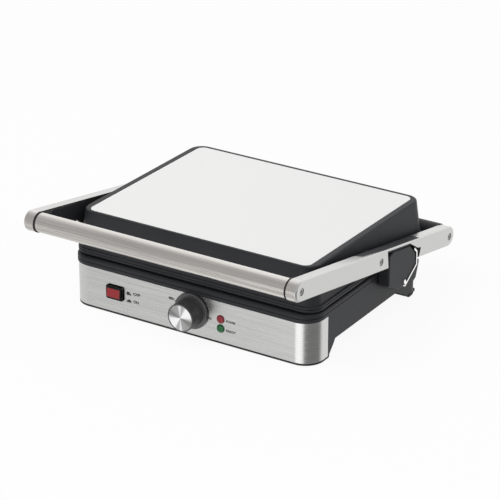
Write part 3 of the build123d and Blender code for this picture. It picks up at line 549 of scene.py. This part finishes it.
def armPoint(x, along, up):
    # a point of the arm, measured from the hinge towards the handle and square to the arm
    return Vector((
        x,
        hingeAt.y - along * cos(armSlope) + up * sin(armSlope),
        hingeAt.z + along * sin(armSlope) + up * cos(armSlope),
    ))


def cutUnderArm(inner, outer, top):
    # the space for the release housing: a flange left above it, a gusset left behind it
    d = armDims
    near, far, under = d["cutNear"], d["cutFar"], top - d["flange"]
    steps = [(near + along * mm, up * mm) for along, up in d["gusset"]]
    outline = [
        (near + d["gussetFoot"], -2 * top), *steps, (near + d["gussetTop"], under),
        (far + d["flangeEnd"], under), (far - d["farFoot"], -2 * top),
    ]
    corners = [armPoint(inner - cutOver, a, u) for a, u in outline]
    return addPrism("underCut", corners, (outer - inner + 2 * cutOver, 0, 0))


def cutNotch(inner, outer, top):
    # the notch that the liner fills, a thin wall left outside it
    d = armDims
    near, far = d["notchNear"], d["notchFar"]
    wall, bendWall, endWall = d["notchWalls"]
    outline = [
        (inner - cutOver, near), (outer - wall, near), (outer - wall, near + d["notchStraight"]),
        (outer - bendWall, near + d["notchBend"]), (outer - endWall, far - d["notchEnd"]),
        (inner - cutOver, far + 2 * cutOver),
    ]
    rise = armPoint(0, 0, 4 * top) - armPoint(0, 0, 0)
    return addPrism("notch", [armPoint(x, a, -2 * top) for x, a in outline], rise)


def cutPocket(inner, side, top):
    # the shallow pocket of the liner, and the gap where its flap hangs below the arm
    d = armDims
    start = inner - side * cutOver
    end = inner + side * d["linerThick"]
    reach = (armRun - 2 * d["linerMargin"]) / 2 + top - d["linerRim"]
    half = top - d["linerRim"]
    slot = addBlock(
        "slot", (min(start, end), -reach, -half), (max(start, end), reach, half),
        turn=(-armSlope, 0, 0), centre=armPoint((start + end) / 2, armRun / 2, 0))
    shape(slot, "EDGE", lambda a, b: abs(a.x - b.x) > thread, bevel(half * d["linerRound"], 10))
    far = d["notchFar"]
    corners = [(far + along * mm, -top + up * mm) for along, up in d["flap"]]
    outline = [(corners[0][0], 0), *corners, (corners[-1][0], 0)]
    flap = addPrism("flap", [armPoint(start, a, u) for a, u in outline], (end - start, 0, 0))
    return [slot, flap]


def makeArm(name, node, side):
    d = armDims
    lo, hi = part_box(node)
    radius = hi.y - hingeAt.y
    outerX, innerX = (hi.x, lo.x) if side > 0 else (lo.x, hi.x)
    clearSelection()
    # a round bar across the hinge, its front half drawn out to the handle
    bpy.ops.mesh.primitive_cylinder_add(
        vertices=d["sides"], radius=radius, depth=hi.x - lo.x,
        location=((lo.x + hi.x) / 2, hingeAt.y, hingeAt.z), rotation=(0, pi / 2, 0))
    piece = settle(name)
    towards = Vector((0, -cos(armSlope), sin(armSlope)))
    hingeFlat = Vector((0, hingeAt.y, hingeAt.z))
    reach = towards * armRun
    shape(
        piece, "VERT", lambda p: (Vector((0, p.y, p.z)) - hingeFlat).dot(towards) > thread,
        move(0, reach.y, reach.z))
    shape(
        piece, "EDGE", lambda a, b: abs(a.x - outerX) < thread and abs(b.x - outerX) < thread,
        bevel(d["edge"], d["edgeSegments"]))
    if side > 0:
        cutWith(piece, cutUnderArm(lo.x, hi.x, radius), cutNotch(lo.x, hi.x, radius))
    cutWith(piece, *cutPocket(innerX, side, radius))
    for at in (handleAt, pivotAt, hingeAt):
        sunk = addRod(
            "sunk", "x", d["screwRadius"], (outerX - side * d["screwDepth"], at.y, at.z),
            (outerX + side * 2 * cutPast, at.y, at.z), d["screwSides"])
        cutWith(piece, sunk)
    smooth(piece, 30)
    finished(piece, armAluminium, "arms", "arm_aluminium", node)
    # the brushed cap round the front end, up to the seam beside the arm's outer face
    cap = addRod(
        "armCapRight" if side > 0 else "armCapLeft", "x", d["capRadius"],
        (innerX + side * d["capFit"], handleAt.y, handleAt.z),
        (outerX - side * d["capSeam"], handleAt.y, handleAt.z), d["capSides"])
    softEdges(cap, d["capEdge"], 3)
    smooth(cap)
    finished(cap, tubeSteel, "arms", "arm_aluminium")


makeArm("armRight", "arm_right", 1)
makeArm("armLeft", "arm_left", -1)
print("arms made")


# Lid: a moulded shell with leaning walls on a stepped lip, and a white plate sunk in its roof

lidDims = dict(
    lipHeight=7.3 * mm, lipRadius=20 * mm, lipRound=2.4 * mm, lipEdge=1.2 * mm,
    wallInset=2.0 * mm, topInset=8.0 * mm, frontLean=8.0 * mm, rearLean=4.0 * mm,
    roofEdge=2.0 * mm, fieldDepth=1.2 * mm, fieldGap=0.4 * mm, fieldRadius=9 * mm, fieldEdge=0.35 * mm,
    grooveDepth=0.7 * mm, grooveHeight=0.9 * mm, grooveAt=0.55,
    plateRadius=14.5 * mm, plateGap=0.5 * mm, cornerSegments=14,
    bossRadius=9 * mm, bossLength=16 * mm, bossEdge=0.6 * mm,
)


def roofSlope():
    lo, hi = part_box("lid_panel")
    return atan2(hi.z - lo.z - lidDims["fieldDepth"], hi.y - lo.y)


def roofBlock(name, grow, depthBelow, riseAbove, radius):
    # a slab lying in the sloped roof, as large as the white plate plus grow all round
    d = lidDims
    lo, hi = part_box("lid_panel")
    slope = roofSlope()
    length = (hi.y - lo.y) / cos(slope) + 2 * grow
    middleZ = (hi.z + lo.z + d["fieldDepth"]) / 2 + (riseAbove - depthBelow) / 2
    slab = addBlock(
        name, (lo.x - grow, -length / 2, -depthBelow), (hi.x + grow, length / 2, riseAbove),
        turn=(-slope, 0, 0), centre=(0, (lo.y + hi.y) / 2, middleZ))
    shape(
        slab, "EDGE",
        lambda a, b: (a - b).length < depthBelow + riseAbove + thread and abs(a.x - b.x) < hair,
        bevel(radius, d["cornerSegments"]))
    return slab


def makeLid():
    d = lidDims
    lo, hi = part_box("lid_frame")
    plateLo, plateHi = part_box("upper_plate")
    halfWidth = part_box("front_panel")[1].x
    lipTop = lo.z + d["lipHeight"]
    piece = addBlock("lidFrame", (-halfWidth, lo.y, lo.z), (halfWidth, hi.y, lipTop))
    shape(piece, "EDGE", upright, bevel(d["lipRadius"], d["cornerSegments"]))
    shape(piece, "EDGE", lambda a, b: max(a.z, b.z) < lo.z + hair, bevel(d["lipRound"], 5))
    shape(piece, "EDGE", lambda a, b: min(a.z, b.z) > lipTop - hair, bevel(d["lipEdge"], 3))
    middleY = (lo.y + hi.y) / 2
    shape(
        piece, "FACE", lambda c, n: n.z > 0.99, inset(d["wallInset"] - d["lipEdge"]),
        extrude(0, 0, hi.z + cutOver - lipTop))
    # the top ring comes in to the size of the roof
    width, depth = 2 * (halfWidth - d["wallInset"]), hi.y - lo.y - 2 * d["wallInset"]
    topWidth, topDepth = 2 * (halfWidth - d["topInset"]), hi.y - lo.y - d["frontLean"] - d["rearLean"]
    shape(
        piece, "VERT", lambda p: p.z > hi.z,
        scale(topWidth / width, topDepth / depth, 1, (0, middleY, hi.z)),
        move(0, (d["frontLean"] - d["rearLean"]) / 2, 0))
    slope = roofSlope()
    panelLo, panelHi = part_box("lid_panel")
    pick(piece)
    bpy.ops.object.mode_set(mode="EDIT")
    bpy.ops.mesh.select_all(action="SELECT")
    bpy.ops.mesh.bisect(
        plane_co=(0, panelLo.y, panelHi.z), plane_no=(0, sin(slope), cos(slope)), use_fill=True,
        clear_outer=True)
    bpy.ops.object.mode_set(mode="OBJECT")
    roofNormal = Vector((0, sin(slope), cos(slope)))
    roofAt = Vector((0, panelLo.y, panelHi.z)).dot(roofNormal)

    def onRoof(p):
        return abs(p.dot(roofNormal) - roofAt) < thread

    shape(piece, "EDGE", lambda a, b: onRoof(a) and onRoof(b), bevel(d["roofEdge"], 4))
    # a fine groove round the lip
    grooveZ = lo.z + d["lipHeight"] * d["grooveAt"]
    deep = d["grooveDepth"]
    ring = addBlock(
        "ring", (-halfWidth - deep, lo.y - deep, grooveZ),
        (halfWidth + deep, hi.y + deep, grooveZ + d["grooveHeight"]))
    core = addBlock(
        "core", (-halfWidth + deep, lo.y + deep, grooveZ - cutOver),
        (halfWidth - deep, hi.y - deep, grooveZ + 2 * cutOver))
    shape(core, "EDGE", upright, bevel(d["lipRadius"], d["cornerSegments"]))
    cutWith(piece, cutWith(ring, core))
    gap = d["fieldGap"]
    cutWith(piece, roofBlock("field", gap, d["fieldDepth"], cutPast, d["fieldRadius"] + gap))
    recess = addBlock(
        "recess", (plateLo.x - d["plateGap"], plateLo.y - d["plateGap"], lo.z - cutPast),
        (plateHi.x + d["plateGap"], plateHi.y + d["plateGap"], plateHi.z))
    shape(recess, "EDGE", upright, bevel(d["plateRadius"], 8))
    cutWith(piece, recess)
    smooth(piece, 30)
    finished(piece, blackPlastic, "lid", "black_plastic", "lid_frame")
    plate = roofBlock("lidPanel", 0, d["fieldDepth"], 0, d["fieldRadius"])
    softEdges(plate, d["fieldEdge"], 3)
    smooth(plate, 30)
    finished(plate, whiteEnamel, "lid", "white_panel", "lid_panel")
    for side in (-1, 1):
        boss = addRod(
            "pivotBossRight" if side > 0 else "pivotBossLeft", "x", d["bossRadius"],
            (side * (hi.x - d["bossLength"]), pivotAt.y, pivotAt.z), (side * hi.x, pivotAt.y, pivotAt.z))
        softEdges(boss, d["bossEdge"], 3)
        smooth(boss)
        finished(boss, blackPlastic, "lid", "black_plastic")


makeLid()
print("lid made")


# Knob: fluted body on a flange, with a turned cap let into its face

knobDims = dict(
    flangeRadius=22 * mm, flange=3 * mm, flangeEdge=1.0 * mm, bodyRadius=17.3 * mm, taper=0.987,
    faceEdge=0.8 * mm, flutes=72, fluteWidth=0.2 * mm, fluteDepth=0.35 * mm, fluteReach=3 * mm,
    capRadius=15.7 * mm, capSunk=0.35 * mm, capFit=0.05 * mm, capThick=0.5 * mm, capEdge=0.15 * mm,
    capWell=0.6 * mm, capSides=96,
)


def makeKnob():
    d = knobDims
    lo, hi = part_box("knob_body")
    at = joints["knob_turn"]["pos_m"]
    sides = 2 * d["flutes"]
    flangeY = hi.y - d["flange"]
    piece = addRod(
        "knobBody", "y", d["flangeRadius"], (at[0], flangeY, at[2]), (at[0], hi.y, at[2]), sides)
    shape(
        piece, "FACE", lambda c, n: n.y < -0.9, inset(d["flangeRadius"] - d["bodyRadius"]),
        extrude(0, lo.y - flangeY, 0), scale(d["taper"], 1, d["taper"], (at[0], lo.y, at[2])))
    bodyRadius = d["bodyRadius"] * d["taper"]
    shape(
        piece, "EDGE",
        lambda a, b: abs(a.y - lo.y) < hair and abs(b.y - lo.y) < hair, bevel(d["faceEdge"], 3))
    shape(
        piece, "EDGE",
        lambda a, b: abs(a.y - b.y) < hair and abs(a.y - flangeY) < hair
        and Vector((a.x - at[0], a.z - at[2])).length > d["flangeRadius"] - thread,
        bevel(d["flangeEdge"], 3))
    wallMiddle = (lo.y + flangeY) / 2

    def isFlute(c, n):
        turn = atan2(c.z - at[2], c.x - at[0])
        place = (turn / (2 * pi) * sides - 0.5) % 2
        onWall = abs(c.y - wallMiddle) < d["fluteReach"] and abs(n.y) < 0.3
        return onWall and (place < 0.5 or place > 1.5)        # every second face

    shape(piece, "FACE", isFlute, inset(d["fluteWidth"], -d["fluteDepth"], True))
    shape(
        piece, "FACE", lambda c, n: n.y < -0.9 and abs(c.y - lo.y) < thread,
        inset(bodyRadius - d["faceEdge"] - d["capRadius"]), extrude(0, d["capSunk"] + d["capWell"], 0))
    smooth(piece, 30)
    finished(piece, knobPlastic, "knob", "knob_black", "knob_body")
    cap = addRod(
        "knobCap", "y", d["capRadius"] - d["capFit"], (at[0], lo.y + d["capSunk"], at[2]),
        (at[0], lo.y + d["capSunk"] + d["capThick"], at[2]), d["capSides"])
    softEdges(cap, d["capEdge"])
    smooth(cap)
    finished(cap, turnedCap, "knob", "spun_cap", "knob_cap")


makeKnob()
print("knob made")


# Rocker switch: a raised bezel, and a rocker with a red face and dark sides

switchDims = dict(
    radius=2 * mm, rim=2.3 * mm, well=6 * mm, edge=0.4 * mm, tilt=-7.0, faceGap=0.65 * mm,
    sideGap=0.7 * mm, rockerBack=0.6 * mm, rockerEdge=0.5 * mm,
    faceThick=0.5 * mm, faceMargin=0.4 * mm, faceProud=0.3, faceEdge=0.2 * mm,
)


def makeSwitch():
    d = switchDims
    lo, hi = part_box("switch_housing")
    at = Vector(joints["rocker_tilt"]["pos_m"])
    rim = d["rim"]
    bezel = addBlock("switchBezel", (lo.x, lo.y, lo.z), (hi.x, frontY + cutOver, hi.z))
    shape(bezel, "EDGE", lambda a, b: abs(a.y - b.y) > thread, bevel(d["radius"], 6))
    well = addBlock(
        "well", (lo.x + rim, lo.y - cutOver, lo.z + rim), (hi.x - rim, frontY + d["well"], hi.z - rim))
    cutWith(bezel, well)
    softEdges(bezel, d["edge"], 3)
    smooth(bezel)
    finished(bezel, switchPlastic, "base", "switch_black")
    rockLo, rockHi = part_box("rocker")
    halfW = (rockHi.x - rockLo.x) / 2 - d["sideGap"]
    halfH = (hi.z - lo.z) / 2 - rim - d["faceGap"]
    # the rocker leans about its own axis, so its middle stays square above that axis
    depth = frontY - rockLo.y
    turn = radians(d["tilt"])
    out = Vector((0, -cos(turn), -sin(turn)))
    centre = at + out * (at.y - (rockLo.y + frontY) / 2 - d["rockerBack"])
    body = addBlock(
        "rockerBody", (-halfW, -depth / 2, -halfH), (halfW, depth / 2, halfH),
        turn=(turn, 0, 0), centre=centre)
    softEdges(body, d["rockerEdge"], 3)
    smooth(body)
    finished(body, switchPlastic, "rocker", "red_rocker", "rocker")
    margin = d["faceMargin"]
    face = addBlock(
        "rockerFace", (-halfW + margin, -d["faceThick"] / 2, -halfH + margin),
        (halfW - margin, d["faceThick"] / 2, halfH - margin), turn=(turn, 0, 0),
        centre=centre + out * (depth / 2 + d["faceThick"] * d["faceProud"]))
    softEdges(face, d["faceEdge"], 2)
    smooth(face)
    finished(face, redRocker, "rocker", "red_rocker")


makeSwitch()
print("switch made")


# Lamp rims and the printed marks of the controls

printDims = dict(
    raised=0.05 * mm, weight=0.04,
    rimRadius=5.2 * mm, rimInner=4.7 * mm, rimHeight=0.4 * mm, rimBack=0.2 * mm, rimEdge=0.2 * mm,
    # beside a lamp, in mm: name, letters, lamp, left and right from its middle, height from its middle
    lampWords=[
        ("printPower", "POWER", "power_lamp", 7.4, 20, -0.6),
        ("printReady", "READY", "ready_lamp", 7.4, 20.6, -0.8),
    ],
    lampLetters=3.0,
    # on the panel, in mm: name, letters, left, right, middle height, letter height
    words=[
        ("printOff", "OFF", -76.9, -66.9, 33.2, 3.8),
        ("printOn", "ON", -76.7, -69.4, 23.3, 3.8),
        ("printMin", "MIN", -27.2, -19.6, 41.2, 3.6),
        ("printMax", "MAX", 23.9, 31.6, 29.3, 3.4),
    ],
    # plain marks, in mm: name, left, right, bottom, top
    marks=[
        ("markMin", -19, -15.6, 39.6, 40.4),
        ("markMax", 20.5, 23.0, 29.4, 30.2),
        ("markOffLow", -86.1, -79.5, 30.2, 32.2),
        ("markOffHigh", -85.6, -81.6, 32.2, 34.2),
        ("markOnLow", -86.4, -79.4, 21.0, 22.8),
        ("markOnHigh", -84.4, -80.4, 22.8, 24.4),
    ],
)


def addPrint(name, text, left, right, middleZ, height):
    # flat letters fitted between left and right on the face of the panel
    clearSelection()
    bpy.ops.object.text_add(location=(0, 0, 0))
    bpy.context.object.data.body = text
    bpy.context.object.data.offset = printDims["weight"]
    bpy.ops.object.convert(target="MESH")
    piece = bpy.context.object
    piece.name = name
    xs = [v.co.x for v in piece.data.vertices]
    ys = [v.co.y for v in piece.data.vertices]
    wide, tall = max(xs) - min(xs), max(ys) - min(ys)
    centre = ((min(xs) + max(xs)) / 2, (min(ys) + max(ys)) / 2, 0)
    shape(
        piece, "VERT", lambda p: True, scale((right - left) / wide, height / tall, 1, centre),
        move((left + right) / 2 - centre[0], middleZ - centre[1], 0))
    piece.rotation_euler = (pi / 2, 0, 0)
    piece.location = (0, frontY - printDims["raised"], 0)
    pick(piece)
    bpy.ops.object.transform_apply(location=True, rotation=True, scale=True)
    finished(piece, printInk, "base", "switch_black")


def addMark(name, left, right, bottom, top):
    raised = printDims["raised"]
    piece = addBlock(name, (left, frontY - raised, bottom), (right, frontY + raised, top))
    finished(piece, printInk, "base", "switch_black")


def makeMarks():
    d = printDims
    for name, node in (("lampRimPower", "power_lamp"), ("lampRimReady", "ready_lamp")):
        at = middle(node)
        rim = addRod(
            name, "y", d["rimRadius"], (at.x, frontY - d["rimHeight"], at.z),
            (at.x, frontY + d["rimBack"], at.z))
        inside = addRod(
            "inside", "y", d["rimInner"], (at.x, frontY - cutPast, at.z), (at.x, frontY + cutPast, at.z))
        cutWith(rim, inside)
        softEdges(rim, d["rimEdge"], 2)
        smooth(rim)
        finished(rim, switchPlastic, "base", "switch_black")
    for name, letters, lamp, left, right, rise in d["lampWords"]:
        at = middle(lamp)
        addPrint(
            name, letters, at.x + left * mm, at.x + right * mm, at.z + rise * mm,
            d["lampLetters"] * mm)
    for name, letters, *places in d["words"]:
        addPrint(name, letters, *(place * mm for place in places))
    for name, *places in d["marks"]:
        addMark(name, *(place * mm for place in places))


makeMarks()
print("marks made")


# Camera, lamps, floor, and the studio that the metal mirrors

cameraDims = dict(
    # fitted to the straight edges in the photo, in degrees, metres and mm of lens
    azimuth=32.25, elevation=24.48, distance=2.90648, aimRight=0.06996, aimUp=0.09796,
    lens=182.67, sensor=36, farEnd=20,
)


def makeCamera():
    d = cameraDims
    a, e = radians(d["azimuth"]), radians(d["elevation"])
    back = Vector((sin(a) * cos(e), -cos(a) * cos(e), sin(e)))
    right = Vector((cos(a), sin(a), 0))
    up = back.cross(right)
    place = Vector((0, frontY, 0)) + back * d["distance"] + right * d["aimRight"] + up * d["aimUp"]
    clearSelection()
    bpy.ops.object.camera_add(location=place, rotation=(pi / 2 - e, 0, a))
    camera = bpy.context.object
    camera.data.lens = d["lens"]
    camera.data.sensor_width = d["sensor"]
    camera.data.clip_end = d["farEnd"]
    bpy.context.scene.camera = camera


def addSoftbox(name, place, aim, width, height, watts):
    clearSelection()
    direction = Vector(aim) - Vector(place)
    turn = direction.to_track_quat("-Z", "Y").to_euler()
    bpy.ops.object.light_add(type="AREA", location=place, rotation=turn)
    lamp = bpy.context.object
    lamp.name = name
    lamp.data.shape = "RECTANGLE"
    lamp.data.size = width
    lamp.data.size_y = height
    lamp.data.energy = watts
    lamp.visible_glossy = False        # the world alone shows in the metal


lampDims = dict(
    aim=(0, 0, 0.05),
    # name, place, width, height, watts
    softboxes=[
        ("keyLight", (-1.2, -1.6, 2.2), 1.6, 1.2, 22),
        ("sideLight", (2.0, -0.6, 1.3), 1.0, 1.4, 3),
    ],
)


def makeLamps():
    for name, place, width, height, watts in lampDims["softboxes"]:
        addSoftbox(name, place, lampDims["aim"], width, height, watts)


floorDims = dict(size=12, place=(0, 2, 0), colour="#eeeeee", rough=0.9, glow=1.02, glowShare=0.9)


def makeFloor():
    d = floorDims
    clearSelection()
    bpy.ops.mesh.primitive_plane_add(size=d["size"], location=d["place"])
    floor = settle("floor")
    material, tree, shader = newMaterial("Pale studio floor")
    setShader(shader, colour=linear(d["colour"]), rough=d["rough"], specular=0.1)
    glow = addNode(tree, "ShaderNodeEmission", inputs={"Color": (1, 1, 1, 1), "Strength": d["glow"]})
    path = addNode(tree, "ShaderNodeLightPath")
    # to the camera the floor is mostly a plain glow, so it stays pale and even
    share = addNode(tree, "ShaderNodeMath", {"operation": "MULTIPLY"}, {
        0: path.outputs["Is Camera Ray"], 1: d["glowShare"]})
    mix = addNode(tree, "ShaderNodeMixShader", inputs={
        0: share.outputs["Value"], 1: shader.outputs["BSDF"], 2: glow.outputs["Emission"]})
    tree.links.new(mix.outputs["Shader"], tree.nodes["Material Output"].inputs["Surface"])
    floor.data.materials.append(material)
    floor.visible_glossy = False


wallDims = dict(
    # brightness that reflections see all round, by degrees from the front: low down, then high up
    lowBands=[
        (-180, 1.2), (-146, 1.02), (-41, 1.02), (-37, 0.56), (-30, 0.45), (-25, 1.9), (17, 1.9),
        (23, 0.285), (120, 0.285), (125, 1.22), (180, 1.22),
    ],
    highBands=[
        (-180, 1.35), (-140, 1.35), (-110, 0.85), (-60, 0.6), (-20, 0.6), (30, 0.8), (110, 0.8),
        (150, 1.2), (180, 1.35),
    ],
    # and below, from straight down at 0 to straight up at 1
    floorBands=[
        (0.0, 0.7), (0.03, 0.75), (0.05, 1.25), (0.07, 1.25), (0.09, 0.75), (0.2, 0.75), (1.0, 0.75),
    ],
    blend=0.2, floorFrom=-0.6, floorFull=-0.75, plain=0.62,
)


def azimuthStops(pairs):
    return [((degreesRound + 180) / 360, level) for degreesRound, level in pairs]


def makeWorld():
    # walls and boards of a white studio, seen only by reflections; plain soft light for the rest
    d = wallDims
    world = bpy.data.worlds.new("Studio")
    bpy.context.scene.world = world
    world.use_nodes = True
    tree = world.node_tree
    background = tree.nodes["Background"]
    coords = addNode(tree, "ShaderNodeTexCoord")
    apart = addNode(tree, "ShaderNodeSeparateXYZ", inputs={"Vector": coords.outputs["Generated"]})
    forward = addNode(tree, "ShaderNodeMath", {"operation": "MULTIPLY"}, {
        0: apart.outputs["Y"], 1: -1.0})
    around = addNode(tree, "ShaderNodeMath", {"operation": "ARCTAN2"}, {
        0: apart.outputs["X"], 1: forward.outputs["Value"]})
    turn = addNode(tree, "ShaderNodeMapRange", inputs={
        "Value": around.outputs["Value"], "From Min": -pi, "From Max": pi, "To Min": 0.0, "To Max": 1.0})
    lower = bandRamp(tree, turn.outputs["Result"], azimuthStops(d["lowBands"]))
    upper = bandRamp(tree, turn.outputs["Result"], azimuthStops(d["highBands"]))
    rise = addNode(tree, "ShaderNodeMapRange", inputs={
        "Value": apart.outputs["Z"], "From Min": -d["blend"], "From Max": d["blend"],
        "To Min": 0.0, "To Max": 1.0})
    sides = addNode(tree, "ShaderNodeMix", {"data_type": "FLOAT"}, {
        "Factor": rise.outputs["Result"], "A": lower, "B": upper})
    height = addNode(tree, "ShaderNodeMapRange", inputs={
        "Value": apart.outputs["Z"], "From Min": -1.0, "From Max": 1.0, "To Min": 0.0, "To Max": 1.0})
    below = bandRamp(tree, height.outputs["Result"], d["floorBands"])
    drop = addNode(tree, "ShaderNodeMapRange", inputs={
        "Value": apart.outputs["Z"], "From Min": d["floorFull"], "From Max": d["floorFrom"],
        "To Min": 1.0, "To Max": 0.0})
    walls = addNode(tree, "ShaderNodeMix", {"data_type": "FLOAT"}, {
        "Factor": drop.outputs["Result"], "A": sides.outputs["Result"], "B": below})
    path = addNode(tree, "ShaderNodeLightPath")
    plain = addNode(tree, "ShaderNodeMix", {"data_type": "FLOAT"}, {
        "Factor": path.outputs["Is Glossy Ray"], "A": d["plain"], "B": walls.outputs["Result"]})
    strength = addNode(tree, "ShaderNodeMix", {"data_type": "FLOAT"}, {
        "Factor": path.outputs["Is Camera Ray"], "A": plain.outputs["Result"], "B": 1.0})
    background.inputs["Color"].default_value = (1, 1, 1, 1)
    tree.links.new(strength.outputs["Result"], background.inputs["Strength"])


makeCamera()
makeFloor()
makeWorld()
makeLamps()
bpy.context.scene.view_settings.view_transform = "Standard"
print("studio made")
